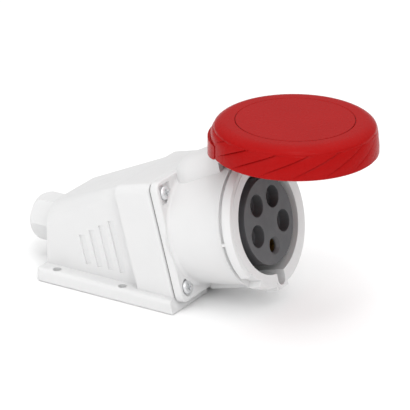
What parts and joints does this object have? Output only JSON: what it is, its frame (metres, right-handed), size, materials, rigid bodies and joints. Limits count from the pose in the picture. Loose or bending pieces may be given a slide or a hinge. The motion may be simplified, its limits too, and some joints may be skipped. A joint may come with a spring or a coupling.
{
  "type": "industrial wall socket",
  "caption": "Angled surface-mount power socket with round pin entries, a keyed plug recess, a hinged red lid locked by a turning bayonet ring, and a rear cable gland.",
  "frame": {"origin": "centre of the four fixing holes, on the mounting face", "axes": "+Z out of the wall, +X towards the plug side, +Y across the box"},
  "size_m": [0.2351, 0.0998, 0.1242],
  "materials": {
    "white_plastic": "satin moulded",
    "red_plastic": "satin moulded",
    "grey_plastic": "matt moulded",
    "seal_rubber": "matt",
    "screw_steel": "zinc plated",
    "contact_brass": "turned"
  },
  "bodies": {
    "housing": {"back_box": "white_plastic", "front_gasket": "seal_rubber", "socket_front": "white_plastic", "cover_screws": "screw_steel", "contact_insert": "grey_plastic", "contact_carrier": "grey_plastic", "sleeve_l1": "contact_brass", "sleeve_l2": "contact_brass", "sleeve_l3": "contact_brass", "sleeve_neutral": "contact_brass", "sleeve_earth": "contact_brass", "terminal_screws": "screw_steel", "carrier_screws": "screw_steel", "hinge_pin": "screw_steel", "gland_body": "white_plastic", "gland_washer": "seal_rubber", "gland_locknut": "white_plastic", "gland_seal": "seal_rubber"},
    "lid": {"lid_disc": "red_plastic", "lid_seal": "seal_rubber"},
    "locking_ring": {"locking_ring": "red_plastic"},
    "gland_nut": {"gland_nut": "white_plastic"}
  },
  "joints": [
    {"name": "lid_hinge", "type": "hinge", "parent": "housing", "child": "lid", "pos_m": [0.07492, 0, 0.09616], "axis": [0, 1, 0], "range_deg": [-20, 75]},
    {"name": "ring_turn", "type": "hinge", "parent": "lid", "child": "locking_ring", "pos_m": [0.12192, 0, 0.11456], "axis": [0, 0, 1], "range_deg": [-35, 0]},
    {"name": "gland_nut_turn", "type": "hinge", "parent": "housing", "child": "gland_nut", "pos_m": [-0.05, 0, 0.0235], "axis": [-1, 0, 0], "range_deg": [0, 360]}
  ]
}
